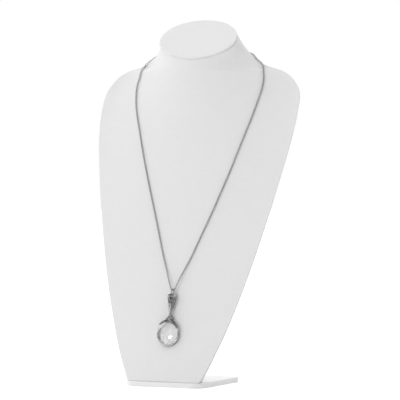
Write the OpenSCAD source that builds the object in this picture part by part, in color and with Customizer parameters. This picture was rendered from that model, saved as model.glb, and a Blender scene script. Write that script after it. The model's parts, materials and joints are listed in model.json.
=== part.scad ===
/* [Bust] */
// Height of the middle of the neck's oval face above the foot
bust_h = 395.5; // [380:0.5:420]
// Full width across the shoulders
shoulder_w = 256.5; // [240:0.5:275]
// Full width of the neck's oval face
neck_w = 98.5; // [90:0.5:104]
// Length of the neck's oval face, along its slope
neck_len = 57.5; // [50:0.5:64]
// Slope of the oval face, from the horizontal
neck_slant = 50; // [40:1:56]
// How far the shoulders stand behind the foot
lean = 110; // [100:1:120]
// Fullness of the front at the base of the neck
front_depth = 35; // [30:1:40]
// Fullness of the back at the foot
back_depth = 40; // [30:1:44]

/* [Base plate] */
// Width of the plate the bust stands on
plate_w = 100; // [90:1:130]
// Depth of the plate, front to back
plate_l = 112; // [105:1:140]
// Thickness of the plate
plate_h = 6; // [5:0.5:10]

/* [Chain] */
// Width of the chain
chain_d = 2.2; // [1.8:0.1:2.6]

/* [Jump ring] */
// Outer diameter of the ring the magnifier hangs from
ring_d = 8.2; // [7.6:0.1:9]
// Thickness of its wire
ring_wire = 1.2; // [0.9:0.1:1.3]

/* [Magnifier] */
// Width of the knob that the eye is in
knob_w = 10.6; // [9.8:0.1:11.4]
// Height of the knob
knob_h = 13; // [12:0.1:14]
// Width of the crown where it sits on the rim
crown_w = 11.6; // [10:0.1:13]
// Height of the crown above the rim
crown_h = 7.2; // [6.4:0.1:8.4]
// Outer diameter of the rim
rim_d = 28.6; // [27:0.1:30]
// Width of the rim's wall, from outside to the clear glass
rim_wall = 2.3; // [1.8:0.1:2.8]
// Depth of the rim, front to back
rim_depth = 3.2; // [2.6:0.1:3.8]
// Length of the frame, from the top of the knob to the bottom of the rim
frame_len = 62.1; // [58:0.1:66]
// Width of the shank below the knob
shank_top = 6.4; // [5.6:0.1:7.2]
// Width of the shank at its lower end
shank_tip = 3.1; // [2.6:0.1:3.6]
// Thickness of the glass at its middle
lens_depth = 4.2; // [3.4:0.1:5]

/* [Hidden] */

SIDES = 56;
GAP = 0.1;
// The route's points and the ring's height are drawn for a bust of this height and width.
DRAWN_H = 395.5;
DRAWN_W = 256.5;

// The torso's sections, from the foot to the base of the neck, as shares of the named size each
// column follows: height of bust_h, width of shoulder_w, set back of lean, fullness of the front
// of front_depth, how flat the front is across (a bare power), fullness of the back of back_depth.
TORSO = [
  [0.000, 0.356, -0.020, 0.075, 1.0, 1.00],
  [0.040, 0.416, 0.018, 0.08, 1.0, 1.00],
  [0.080, 0.470, 0.055, 0.09, 1.0, 0.99],
  [0.148, 0.553, 0.132, 0.10, 1.0, 0.97],
  [0.275, 0.680, 0.260, 0.12, 1.0, 0.90],
  [0.413, 0.793, 0.400, 0.17, 1.1, 0.84],
  [0.553, 0.888, 0.541, 0.26, 1.3, 0.80],
  [0.699, 0.972, 0.702, 0.41, 1.6, 0.78],
  [0.788, 0.994, 0.822, 0.61, 2.0, 0.74],
  [0.842, 0.977, 0.906, 0.805, 2.2, 0.68],
  [0.878, 0.902, 0.943, 0.905, 2.1, 0.60],
  [0.896, 0.832, 0.958, 0.96, 1.9, 0.54],
  [0.906, 0.768, 0.968, 1.00, 1.7, 0.50]
];
// Share of the base's spread that the neck keeps at each tenth of its height.
FLARE = [1.00, 0.70, 0.525, 0.39, 0.28, 0.19, 0.125, 0.077, 0.042, 0.016, 0.00];
oval_y = 0.813 * lean;

function mix(a, b, u) = a + (b - a) * u;
// A smooth value in column c of a table whose first column rises, at key k.
function row_under(table, k, i = 0) =
  (i >= len(table) - 2 || table[i + 1][0] > k) ? i : row_under(table, k, i + 1);
function slope_at(table, i, c) =
  let (a = max(0, i - 1), b = min(len(table) - 1, i + 1))
  (table[b][c] - table[a][c]) / (table[b][0] - table[a][0]);
function smooth(table, k, c) =
  let (i = row_under(table, k), h = table[i + 1][0] - table[i][0], u = (k - table[i][0]) / h,
       m = slope_at(table, i, c) * h, n = slope_at(table, i + 1, c) * h)
  (2 * u * u * u - 3 * u * u + 1) * table[i][c] + (u * u * u - 2 * u * u + u) * m
  + (3 * u * u - 2 * u * u * u) * table[i + 1][c] + (u * u * u - u * u) * n;
FLARE_ROWS = [for (i = [0:10]) [i / 10, FLARE[i]]];

// A point of the torso at height share k and angle t: 0 is the right side, 90 the back and 270
// the front.
function torso_point(k, t) =
  let (w = smooth(TORSO, k, 1) * shoulder_w / 2, s = smooth(TORSO, k, 2) * lean,
       f = smooth(TORSO, k, 3) * front_depth, e = smooth(TORSO, k, 4), b = smooth(TORSO, k, 5) * back_depth)
  [w * cos(t), sin(t) < 0 ? s - f * pow(-sin(t), 2 * e) : s + b * sin(t), k * bust_h];

TOP = TORSO[len(TORSO) - 1][0];
function oval_point(t) =
  [neck_w / 2 * cos(t), oval_y + neck_len / 2 * cos(neck_slant) * sin(t),
   bust_h + neck_len / 2 * sin(neck_slant) * sin(t)];
function neck_point(u, t) =
  let (foot = torso_point(TOP, t), oval = oval_point(t),
       f = mix(smooth(FLARE_ROWS, u, 1), 1 - u, pow(sin(t), 2)))
  [mix(oval[0], foot[0], f), mix(foot[1], oval[1], pow(u, 1.4)), mix(foot[2], oval[2], u)];

module loft(rings) {
  n = len(rings);
  m = len(rings[0]);
  polyhedron(
    points = [for (r = rings) each r],
    faces = [
      [for (j = [0:m - 1]) j],
      [for (j = [m - 1:-1:0]) (n - 1) * m + j],
      for (i = [0:n - 2], j = [0:m - 1])
        each [[i * m + j, (i + 1) * m + j, (i + 1) * m + (j + 1) % m],
              [i * m + j, (i + 1) * m + (j + 1) % m, i * m + (j + 1) % m]]]);
}

// The plate reaches a little in front of the foot, and the row's origin is at the middle of the
// plate's front and the shoulders' back.
plate_front = -7;
back_y = max([for (k = [0.8:0.01:0.9])
  smooth(TORSO, k, 2) * lean + smooth(TORSO, k, 5) * back_depth]);
seat_y = (plate_front + back_y) / 2;
module seat() translate([0, -seat_y, plate_h + GAP]) children();

module neck_bust() {
  angles = [for (j = [0:SIDES - 1]) 360 * j / SIDES];
  color("whitesmoke") seat()
    loft(concat(
      [for (i = [0:30]) [for (t = angles) torso_point(TOP * (1 - pow(1 - i / 30, 1.4)), t)]],
      [for (i = [1:12]) [for (t = angles) neck_point(i / 12, t)]]));
}

module base_plate() {
  r = 14;
  w = plate_w / 2 - r;
  l = plate_l / 2 - r;
  color("white") translate([0, plate_front + plate_l / 2 - seat_y, 0]) {
    translate([-w, -plate_l / 2, 0]) cube([2 * w, plate_l, plate_h]);
    translate([-plate_w / 2, -l, 0]) cube([plate_w, 2 * l, plate_h]);
    for (x = [-w, w], y = [-l, l]) translate([x, y, 0]) cylinder(r = r, h = plate_h, $fn = 48);
  }
}

// The front of the bust at x and height z, and the point that stands off clear of it there.
function front_y(x, z) =
  let (k = z / bust_h, w = smooth(TORSO, k, 1) * shoulder_w / 2)
  smooth(TORSO, k, 2) * lean
  - smooth(TORSO, k, 3) * front_depth * pow(max(0, 1 - pow(x / w, 2)), smooth(TORSO, k, 4));
function unit(v) = v / norm(v);
function on_front(p) =
  let (x = p[0] * shoulder_w / DRAWN_W, z = p[1] * bust_h / DRAWN_H,
       dx = front_y(x + 1, z) - front_y(x - 1, z), dz = front_y(x, z + 1) - front_y(x, z - 1))
  [x, front_y(x, z), z] + p[2] * unit([dx / 2, -1, dz / 2]);
function on_neck(p) =
  let (u = p[0], t = p[1], du = neck_point(u + 0.02, t) - neck_point(u - 0.02, t),
       dt = neck_point(u, t + 1) - neck_point(u, t - 1))
  neck_point(u, t) + p[2] * unit(cross(dt, du));

// Where the pendant hangs: ring_x and ring_z are the place on the front behind the ring's middle,
// and hang the slope of the front from a little above the ring to the foot of the magnifier.
ring_x = 2.3;
ring_z = 101 * bust_h / DRAWN_H;
slope_top = ring_z + 9;
slope_foot = ring_z - 51;
ring_r = (ring_d - ring_wire) / 2;
ring_off = ring_d / 2 + 0.35;
hang = atan2(front_y(0, slope_top) - front_y(0, slope_foot), slope_top - slope_foot);
up_front = [0, sin(hang), cos(hang)];
ring_c = [ring_x, front_y(ring_x, ring_z), ring_z] + ring_off * [0, -cos(hang), sin(hang)];
chain_c = ring_c + (ring_r - ring_wire / 2 - chain_d / 2 - 0.15) * up_front;
hole_r = 1.25;
eye_gap = 0.38;
hole_c = ring_c - (ring_r + hole_r - ring_wire / 2 - eye_gap) * up_front;

// The chain's way up the front, from the ring, as [x, height, stand-off]. It is caught at the
// bottom inside the ring.
V = [[1.5, 0.7], [2.5, 2.4], [3.6, 5.2]];
RIGHT_LEG = [
  [8.3, 114.5, 3.8], [11.8, 124, 2.9], [20.7, 145, 2.0], [31.3, 172, 1.7], [42.2, 200, 1.6],
  [55.5, 238, 1.6], [66, 272, 1.6], [75, 304, 1.6], [80, 328, 1.6], [81.6, 341, 1.7],
  [81.2, 350, 2.0]];
LEFT_LEG = [
  [-4.6, 114.5, 3.8], [-8.6, 124, 2.9], [-17.4, 145, 2.0], [-31, 184, 1.7], [-44.6, 222, 1.6],
  [-57, 257, 1.6], [-67.5, 288, 1.6], [-75.7, 310, 1.6], [-80.5, 328, 1.6], [-81.4, 340, 1.7],
  [-79.2, 350, 2.0]];
// Its way round the back of the neck, as [share of the neck's height, angle, stand-off].
NECK_WAY = [
  [0.06, -30.5, 1.8], [0.175, -9, 1.7], [0.28, 4, 1.6], [0.36, 16, 1.6], [0.375, 32, 1.6],
  [0.38, 50, 1.6], [0.37, 67, 1.6], [0.36, 84, 1.7]];

function v_point(p, side) = chain_c + [side * p[0], 0, 0] + p[1] * up_front;
ROUTE = concat(
  [for (i = [len(NECK_WAY) - 1:-1:0])
    on_neck([NECK_WAY[i][0], 180 - NECK_WAY[i][1], NECK_WAY[i][2]])],
  [for (i = [len(LEFT_LEG) - 1:-1:0]) on_front(LEFT_LEG[i])],
  [for (i = [len(V) - 1:-1:0]) v_point(V[i], -1)],
  [chain_c],
  [for (p = V) v_point(p, 1)],
  [for (p = RIGHT_LEG) on_front(p)],
  [for (p = NECK_WAY) on_neck(p)]);

function way(n, f) =
  let (a = ROUTE[max(0, n - 1)], b = ROUTE[n], c = ROUTE[min(len(ROUTE) - 1, n + 1)],
       d = ROUTE[min(len(ROUTE) - 1, n + 2)])
  0.5 * (2 * b + (c - a) * f + (2 * a - 5 * b + 4 * c - d) * f * f
         + (3 * b - a - 3 * c + d) * f * f * f);
function tube_ring(c, along, r, n) =
  let (t = unit(along), a = unit(cross(t, [c[0], c[1] - oval_y, 0])), b = cross(t, a))
  [for (j = [0:n - 1]) c + r * (cos(360 * j / n) * a + sin(360 * j / n) * b)];

module chain() {
  last = len(ROUTE) - 1;
  steps = [for (i = [0:last - 1], f = [0, 0.5]) [i, f]];
  rings = concat(
    [for (s = steps)
      tube_ring(way(s[0], s[1]), way(s[0], s[1] + 0.02) - way(s[0], s[1] - 0.02), chain_d / 2, 8)],
    [tube_ring(ROUTE[last], ROUTE[last] - ROUTE[last - 1], chain_d / 2, 8)]);
  color("silver") seat() loft(rings);
}

// One plain lobster clasp: a body with an eye at each end, flat against the back of the neck.
clasp_c = on_neck([0.355, 90, 1.9]);
module torus(r, wire) rotate_extrude($fn = 48) translate([r, 0]) circle(r = wire, $fn = 16);
module clasp() {
  color("silver") seat() translate(clasp_c) rotate([104, 0, 0]) {
    difference() {
      union() {
        translate([-3.4, 0, 0]) rotate([0, 90, 0]) cylinder(r = 1.15, h = 5.6, $fn = 32);
        translate([-3.4, 0, 0]) sphere(r = 1.15, $fn = 32);
        translate([2.2, 0, 0]) sphere(r = 1.15, $fn = 32);
      }
      translate([-10, -10, 1]) cube([20, 20, 2]);
      translate([-10, -10, -3]) cube([20, 20, 2]);
    }
    translate([-5.3, 0, 0]) torus(1.5, 0.5);
    translate([5.1, 0, 0]) torus(2.3, 0.6);
  }
}

module jump_ring() {
  color("silver") seat() translate(ring_c) rotate([0, 90, 0]) torus(ring_r, ring_wire / 2);
}

// The magnifier is drawn flat: x across, y up, z toward the viewer, with the eye in the knob at
// the origin. It leans back a little less than the bust, from the ring to where the rim rests.
top_y = hole_r + 1.25;
rim_y = top_y - frame_len + rim_d / 2;
crown_y = rim_y + rim_d / 2;
stand_up = asin((ring_off - rim_depth / 2 - 0.6) / (ring_r - rim_y + rim_d / 2));
module hung() seat() translate(hole_c) rotate([90 - hang + stand_up, 0, 0]) children();

// Right halves of the knob's and the crown's outlines, as shares of half their width and of
// their height, the knob's down from its top and the crown's up from the rim.
KNOB = [[0.30, 0.02], [0.58, 0.06], [0.80, 0.13], [0.93, 0.23], [0.97, 0.34], [1.00, 0.46],
        [0.95, 0.57], [0.86, 0.66], [0.85, 0.76], [0.72, 0.86], [0.65, 1.00]];
CROWN = [[0.30, 1.00], [0.45, 0.87], [0.56, 0.72], [0.76, 0.60], [0.80, 0.44], [0.66, 0.29],
         [0.74, 0.16], [0.90, 0.06], [0.86, -0.17]];
// The crown's raised foot, which the arms spring from, in the same shares.
BIB = [[0.12, 0.62], [0.36, 0.50], [0.52, 0.26], [0.60, 0.00], [0.48, -0.20], [0.16, -0.28]];
// The leafy arms on the front of the rim, each a row of lobes: [angle from upright, distance of
// the lobe's middle and the lobe's radius as shares of the rim's radius].
RIGHT_ARM = [[13, 1.05, 0.125], [21, 1.03, 0.115], [29, 1.01, 0.105], [37, 0.99, 0.095],
             [45, 0.98, 0.085], [52, 0.98, 0.073], [58, 0.98, 0.058]];
LEFT_ARM = [[13, 1.06, 0.125], [20, 1.06, 0.115], [27, 1.06, 0.105], [34, 1.06, 0.092],
            [40, 1.06, 0.080], [45, 1.07, 0.065], [49, 1.08, 0.048]];
arm_depth = 1.5;
bib_top = rim_depth / 2 + arm_depth - 0.6;
function on_knob(p) = [p[0] * knob_w / 2, top_y - p[1] * knob_h];
function on_crown(p) = [p[0] * crown_w / 2, crown_y + p[1] * crown_h];
function mirrored(half) =
  concat(half, [for (i = [len(half) - 1:-1:0]) [-half[i][0], half[i][1]]]);
module at(p, z = 0) translate([p[0], p[1], z]) children();
module scroll(p, r, wire) {
  for (z = [-1.05, 1.05]) at(p, z) torus(r, wire);
}
module bead(p, r) {
  for (z = [-1.1, 1.1]) at(p, z) sphere(r = r, $fn = 24);
}

module knob() {
  big = 0.146 * knob_w;
  small = 0.104 * knob_w;
  difference() {
    union() {
      translate([0, 0, -1]) linear_extrude(2) polygon([for (p = mirrored(KNOB)) on_knob(p)]);
      translate([0, 0, -1]) cylinder(r = hole_r + 1.25, h = 2, $fn = 48);
      for (s = [-1, 1]) {
        scroll(on_knob([0.55 * s, 0.41]), big, 0.5);
        scroll(on_knob([0.39 * s, 0.70]), small, 0.42);
        bead(on_knob([0.92 * s, 0.275]), 0.55);
      }
      bead(on_knob([0, 0.55]), 1.0);
    }
    translate([0, 0, -3]) cylinder(r = hole_r, h = 6, $fn = 32);
    for (s = [-1, 1]) {
      at(on_knob([0.55 * s, 0.41]), -3) cylinder(r = big - 0.65, h = 6, $fn = 24);
      at(on_knob([0.39 * s, 0.70]), -3) cylinder(r = small - 0.5, h = 6, $fn = 24);
    }
  }
}
// The turned shank, from inside the knob down into the crown, with a collar at its foot.
module shank() {
  a = on_knob([0, 0.88])[1];
  b = on_crown([0, 0.92])[1];
  r = shank_top / 2;
  q = shank_tip / 2;
  rotate([-90, 0, 0]) rotate_extrude($fn = 48)
    polygon([[0, a], [0.6 * r, a], [0.9 * r, a - 0.6], [r, a - 1.5], [r - 0.15, a - 3],
             [q + 0.15, b + 2.6], [q, b + 1.4], [q + 0.3, b + 1.1], [q + 0.6, b + 0.6],
             [q + 0.3, b + 0.1], [q, b - 0.3], [0, b - 0.3]]);
}
module crown() {
  big = 0.125 * crown_w;
  difference() {
    union() {
      translate([0, 0, -1.1]) linear_extrude(2.2) polygon([for (p = mirrored(CROWN)) on_crown(p)]);
      translate([0, 0, 1]) linear_extrude(bib_top - 1) polygon([for (p = mirrored(BIB)) on_crown(p)]);
      for (s = [-1, 1]) {
        bead(on_crown([0.61 * s, 0.51]), 0.7);
        bead(on_crown([0.81 * s, 0.01]), 0.7);
      }
      bead(on_crown([0, 0.7]), 0.9);
      for (z = [-1.05, bib_top - 0.1]) at(on_crown([0, 0.3]), z) torus(big, 0.45);
    }
    at(on_crown([0, 0.3]), -3) cylinder(r = big - 0.6, h = 8, $fn = 24);
  }
}
// One arm: lobes that overlap, from beside the crown down along the front of the rim.
module arm(rows, side) {
  for (row = rows)
    at([0, rim_y] + row[1] * rim_d / 2 * [side * sin(row[0]), cos(row[0])], rim_depth / 2 - 0.4)
      cylinder(r = row[2] * rim_d / 2, h = arm_depth, $fn = 32);
}
module rim() {
  r = rim_d / 2;
  d = rim_depth / 2;
  clear_r = r - rim_wall;
  seat_r = r - rim_wall / 2;
  at([0, rim_y])
    rotate_extrude($fn = 96)
      polygon([[clear_r, -d + 0.5], [clear_r + 0.5, -d], [r - 0.7, -d], [r, -d + 0.8],
               [r, d - 0.8], [r - 0.7, d], [clear_r + 0.5, d], [clear_r, d - 0.5],
               [clear_r, 0.9], [seat_r, 0.6], [seat_r, -0.6], [clear_r, -0.9]]);
}
module magnifier_frame() {
  color("silver") hung() {
    knob();
    shank();
    crown();
    rim();
    arm(RIGHT_ARM, 1);
    arm(LEFT_ARM, -1);
  }
}
// A glass with two domed faces and a blunt edge, in the groove inside the rim.
module lens() {
  edge_r = (rim_d - rim_wall) / 2 - GAP;
  half_edge = 0.4;
  sag = lens_depth / 2 - half_edge;
  ball = (edge_r * edge_r + sag * sag) / (2 * sag);
  color("lightcyan", 0.4) hung() at([0, rim_y])
    intersection() {
      translate([0, 0, lens_depth / 2 - ball]) sphere(r = ball, $fn = 128);
      translate([0, 0, ball - lens_depth / 2]) sphere(r = ball, $fn = 128);
      translate([0, 0, -3]) cylinder(r = edge_r, h = 6, $fn = 96);
    }
}

neck_bust();
base_plate();
chain();
clasp();
jump_ring();
magnifier_frame();
lens();
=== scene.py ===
import json
import math
import random

import bpy
import numpy as np
from mathutils import Matrix, Vector, geometry
from mathutils.bvhtree import BVHTree


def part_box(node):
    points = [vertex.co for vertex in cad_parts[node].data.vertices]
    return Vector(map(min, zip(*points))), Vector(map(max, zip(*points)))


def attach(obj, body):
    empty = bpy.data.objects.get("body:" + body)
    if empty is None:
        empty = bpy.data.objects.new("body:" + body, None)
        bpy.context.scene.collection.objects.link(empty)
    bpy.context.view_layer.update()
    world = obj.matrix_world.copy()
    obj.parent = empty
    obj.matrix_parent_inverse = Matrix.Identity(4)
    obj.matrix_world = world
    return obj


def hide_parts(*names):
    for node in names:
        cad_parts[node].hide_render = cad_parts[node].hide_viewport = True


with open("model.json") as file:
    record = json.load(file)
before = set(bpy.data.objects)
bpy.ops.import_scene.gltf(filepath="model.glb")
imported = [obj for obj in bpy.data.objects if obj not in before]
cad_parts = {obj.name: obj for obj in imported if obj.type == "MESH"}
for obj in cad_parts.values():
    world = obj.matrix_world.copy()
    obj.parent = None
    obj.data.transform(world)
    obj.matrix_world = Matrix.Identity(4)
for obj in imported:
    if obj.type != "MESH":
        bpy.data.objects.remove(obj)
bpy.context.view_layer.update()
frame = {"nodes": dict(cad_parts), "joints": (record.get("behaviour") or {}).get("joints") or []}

MM = 0.001

# The bust's driving sizes in millimetres, and its tables of sections, as the frame was built, and
# the ways up the slanted oval face on its neck and out of it.
BUST_H, SHOULDER_W, NECK_W, NECK_LEN, NECK_SLANT = 395.5, 256.5, 98.5, 57.5, 50
LEAN, FRONT_DEPTH, BACK_DEPTH = 110, 35, 40
OVAL_Y = 0.813 * LEAN
SLANT = math.radians(NECK_SLANT)
UP_OVAL = np.array([0, math.cos(SLANT), math.sin(SLANT)])
OFF_OVAL = np.array([0, -math.sin(SLANT), math.cos(SLANT)])
# Each row: height, width, set back, fullness of the front, flatness across, fullness of the back.
TORSO = [
    [0.000, 0.356, -0.020, 0.075, 1.0, 1.00],
    [0.040, 0.416, 0.018, 0.08, 1.0, 1.00],
    [0.080, 0.470, 0.055, 0.09, 1.0, 0.99],
    [0.148, 0.553, 0.132, 0.10, 1.0, 0.97],
    [0.275, 0.680, 0.260, 0.12, 1.0, 0.90],
    [0.413, 0.793, 0.400, 0.17, 1.1, 0.84],
    [0.553, 0.888, 0.541, 0.26, 1.3, 0.80],
    [0.699, 0.972, 0.702, 0.41, 1.6, 0.78],
    [0.788, 0.994, 0.822, 0.61, 2.0, 0.74],
    [0.842, 0.977, 0.906, 0.805, 2.2, 0.68],
    [0.878, 0.902, 0.943, 0.905, 2.1, 0.60],
    [0.896, 0.832, 0.958, 0.96, 1.9, 0.54],
    [0.906, 0.768, 0.968, 1.00, 1.7, 0.50],
]
WIDE, SET_BACK, FRONT_FULL, FLAT, BACK_FULL = range(1, 6)
TOP = TORSO[-1][0]
# Share of the base's spread that the neck keeps at each tenth of its height.
FLARE = [1.00, 0.70, 0.525, 0.39, 0.28, 0.19, 0.125, 0.077, 0.042, 0.016, 0.00]
FLARE_ROWS = [[i / 10, share] for i, share in enumerate(FLARE)]
# How late the neck leans back as it rises: 1 is evenly.
NECK_SWEEP = 1.4

# The chain's few chosen points, as the frame has them: up from the ring as (x, up the front),
# on the front as (x, height, stand-off), and round the neck as (share of its height, angle,
# stand-off).
V = [(1.5, 0.7), (2.5, 2.4), (3.6, 5.2)]
RIGHT_LEG = [
    (8.3, 114.5, 3.8), (11.8, 124, 2.9), (20.7, 145, 2.0), (31.3, 172, 1.7), (42.2, 200, 1.6),
    (55.5, 238, 1.6), (66, 272, 1.6), (75, 304, 1.6), (80, 328, 1.6), (81.6, 341, 1.7),
    (81.2, 350, 2.0),
]
LEFT_LEG = [
    (-4.6, 114.5, 3.8), (-8.6, 124, 2.9), (-17.4, 145, 2.0), (-31, 184, 1.7),
    (-44.6, 222, 1.6), (-57, 257, 1.6), (-67.5, 288, 1.6), (-75.7, 310, 1.6),
    (-80.5, 328, 1.6), (-81.4, 340, 1.7), (-79.2, 350, 2.0),
]
NECK_WAY = [
    (0.06, -30.5, 1.8), (0.175, -9, 1.7), (0.28, 4, 1.6), (0.36, 16, 1.6), (0.375, 32, 1.6),
    (0.38, 50, 1.6), (0.37, 67, 1.6), (0.36, 84, 1.7),
]

# The magnifier's sizes, as the frame has them.
KNOB_W, KNOB_H, CROWN_W, CROWN_H = 10.6, 13.0, 11.6, 7.2
RIM_D, RIM_WALL, RIM_DEPTH, FRAME_LEN, LENS_DEPTH, HALF_EDGE = 28.6, 2.3, 3.2, 62.1, 4.2, 0.4
SHANK_TOP, SHANK_TIP = 6.4, 3.1
HOLE_R, EYE_WALL = 1.25, 1.25
TOP_Y = HOLE_R + EYE_WALL
RIM_Y = TOP_Y - FRAME_LEN + RIM_D / 2
CROWN_Y = RIM_Y + RIM_D / 2


def mix(a, b, u):
    return a + (b - a) * u


def smooth(table, key, column):
    """A smooth value in a column of a table whose first column rises, at key."""
    last = len(table) - 1
    i = max(n for n in range(last) if n == 0 or table[n][0] <= key)

    def slope(n):
        a, b = max(0, n - 1), min(last, n + 1)
        return (table[b][column] - table[a][column]) / (table[b][0] - table[a][0])

    h = table[i + 1][0] - table[i][0]
    u = (key - table[i][0]) / h
    return (
        (2 * u**3 - 3 * u**2 + 1) * table[i][column]
        + (u**3 - 2 * u**2 + u) * slope(i) * h
        + (3 * u**2 - 2 * u**3) * table[i + 1][column]
        + (u**3 - u**2) * slope(i + 1) * h
    )


def torso_ring(k, t):
    """The torso's points at height share k and angles t: 0 is the right side, 90 the back."""
    c, s = np.cos(t), np.sin(t)
    back = smooth(TORSO, k, SET_BACK) * LEAN
    front = smooth(TORSO, k, FRONT_FULL) * FRONT_DEPTH
    full = smooth(TORSO, k, BACK_FULL) * BACK_DEPTH
    flat = smooth(TORSO, k, FLAT)
    y = np.where(s < 0, back - front * np.abs(s) ** (2 * flat), back + full * s)
    x = smooth(TORSO, k, WIDE) * SHOULDER_W / 2 * c
    return np.stack([x, y, np.full_like(x, k * BUST_H)], 1)


def oval_ring(t):
    """The edge of the slanted oval face on top of the neck, at angles t."""
    along = NECK_LEN / 2 * np.sin(t)
    y, z = OVAL_Y + along * UP_OVAL[1], BUST_H + along * UP_OVAL[2]
    return np.stack([NECK_W / 2 * np.cos(t), y, z], 1)


def neck_ring(u, t):
    """The neck's points at share u of its height, from the torso's top to the oval's edge."""
    foot, oval = torso_ring(TOP, t), oval_ring(t)
    f = mix(smooth(FLARE_ROWS, u, 1), 1 - u, np.sin(t) ** 2)
    x = mix(oval[:, 0], foot[:, 0], f)
    y = mix(foot[:, 1], oval[:, 1], u**NECK_SWEEP)
    return np.stack([x, y, mix(foot[:, 2], oval[:, 2], u)], 1)


def unit(v):
    v = np.asarray(v, float)
    return v / np.linalg.norm(v, axis=-1, keepdims=True)


def front_y(x, z):
    """How far back the torso's front lies, at a place across and a height."""
    k = z / BUST_H
    w = smooth(TORSO, k, WIDE) * SHOULDER_W / 2
    edge = max(0.0, 1 - (x / w) ** 2) ** smooth(TORSO, k, FLAT)
    return smooth(TORSO, k, SET_BACK) * LEAN - smooth(TORSO, k, FRONT_FULL) * FRONT_DEPTH * edge


def on_front(p):
    """The place off the torso's front that a row (x, height, stand-off) gives."""
    x, z, off = p
    dx = (front_y(x + 1, z) - front_y(x - 1, z)) / 2
    dz = (front_y(x, z + 1) - front_y(x, z - 1)) / 2
    return np.array([x, front_y(x, z), z]) + off * unit([dx, -1, dz])


def neck_point(u, degrees):
    return neck_ring(u, np.array([math.radians(degrees)]))[0]


def on_neck(u, degrees, off):
    du = neck_point(u + 0.02, degrees) - neck_point(u - 0.02, degrees)
    dt = neck_point(u, degrees + 1) - neck_point(u, degrees - 1)
    return neck_point(u, degrees) + off * unit(np.cross(dt, du))


# The frame stands the bust on its plate: its own drawing moves by this much, in millimetres. The
# torso's back is furthest out somewhere in the given shares of its height.
bust_low, bust_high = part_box("neck_bust")
shares = np.arange(0.8, 0.9, 0.01)
own_back = max(torso_ring(k, np.array([math.pi / 2]))[0, 1] for k in shares)
SEAT = np.array([0.0, bust_high.y / MM - own_back, bust_low.z / MM])

# The ring and the magnifier's own axes come from the joints that carry them. The knob's eye is a
# little below the axis that it sways on.
joints = {j["name"]: j for j in frame["joints"]}
CAUGHT = Vector(joints["ring_swing"]["pos_m"])
UP_FRONT = (CAUGHT - Vector(joints["pendant_sway"]["pos_m"])).normalized()
EYE_DROP = 0.27 * MM
EYE = Vector(joints["pendant_sway"]["pos_m"]) - EYE_DROP * UP_FRONT
OUTWARD = Vector(joints["pendant_sway"]["axis"]).normalized()
ACROSS = Vector((1, 0, 0))
UPWARD = OUTWARD.cross(ACROSS)
PENDANT = Matrix.Translation(EYE) @ Matrix((ACROSS, UPWARD, OUTWARD)).transposed().to_4x4()


def new_object(name, data):
    thing = bpy.data.objects.new(name, data)
    bpy.context.scene.collection.objects.link(thing)
    return thing


def add_piece(mesh, body, slot, node=None):
    """A piece of a mesh in metres, which rides on a body, has its slot's finish, and stands for a
    node where one is given."""
    mesh.shade_smooth()
    mesh.materials.clear()
    mesh.materials.append(FINISH[slot])
    piece = new_object(mesh.name, mesh)
    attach(piece, body)
    if node:
        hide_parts(node)
    return piece


def mesh_piece(name, verts, faces, body, slot, node=None):
    """A piece from points in metres."""
    mesh = bpy.data.meshes.new(name)
    mesh.from_pydata([tuple(v) for v in verts], [], [tuple(f) for f in faces])
    mesh.validate()
    mesh.update()
    return add_piece(mesh, body, slot, node)


def tube_faces(rows, n, first=0, looped=False):
    """The quads between rows of n points each, closed round the row. Where looped is true, the
    last row joins the first."""
    quads = []
    for row in range(rows if looped else rows - 1):
        a, b = first + row * n, first + (row + 1) % rows * n
        quads += [(a + j, a + (j + 1) % n, b + (j + 1) % n, b + j) for j in range(n)]
    return quads


def capped_faces(rows, n):
    """The faces of a tube with flat ends."""
    last = (rows - 1) * n
    return [*tube_faces(rows, n), tuple(range(n - 1, -1, -1)), tuple(range(last, last + n))]


def turned_over(faces):
    return [tuple(reversed(face)) for face in faces]


# Materials. A length in a pattern is in metres, and its scale is one over that.


def new_material(name):
    material = bpy.data.materials.new(name)
    material.use_nodes = True
    tree = material.node_tree
    return material, tree, tree.nodes["Principled BSDF"]


def set_inputs(tree, node, **inputs):
    """Sets a node's inputs, each to a value or to another node's output. An input is named with _
    for a space, or numbered after a _."""
    for key, value in inputs.items():
        socket = node.inputs[int(key[1:])] if key[0] == "_" else node.inputs[key.replace("_", " ")]
        if isinstance(value, bpy.types.NodeSocket):
            tree.links.new(value, socket)
        else:
            socket.default_value = value


def add(tree, kind, settings=None, **inputs):
    """A node with its settings and its inputs."""
    node = tree.nodes.new(kind)
    for key, value in (settings or {}).items():
        setattr(node, key, value)
    set_inputs(tree, node, **inputs)
    return node


def math_node(tree, operation, a, b=0.0):
    return add(tree, "ShaderNodeMath", {"operation": operation}, _0=a, _1=b).outputs[0]


def ramp(tree, value, stops):
    """Greys for a value, between two stops of (value, grey)."""
    node = add(tree, "ShaderNodeValToRGB", Fac=value)
    for element, (place, grey) in zip(node.color_ramp.elements, stops):
        element.position = place
        element.color = (grey, grey, grey, 1)
    return node.outputs["Color"]


def noise(tree, place, scale, detail, flat=False):
    settings = {"noise_dimensions": "2D"} if flat else None
    inputs = {"Vector": place, "Scale": scale, "Detail": detail}
    return add(tree, "ShaderNodeTexNoise", settings, **inputs).outputs["Fac"]


def bumped(tree, surface, height, relief, strength):
    """Gives a surface that height's relief, in metres."""
    bump = add(tree, "ShaderNodeBump", Height=height, Distance=relief, Strength=strength)
    set_inputs(tree, surface, Normal=bump.outputs["Normal"])


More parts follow.
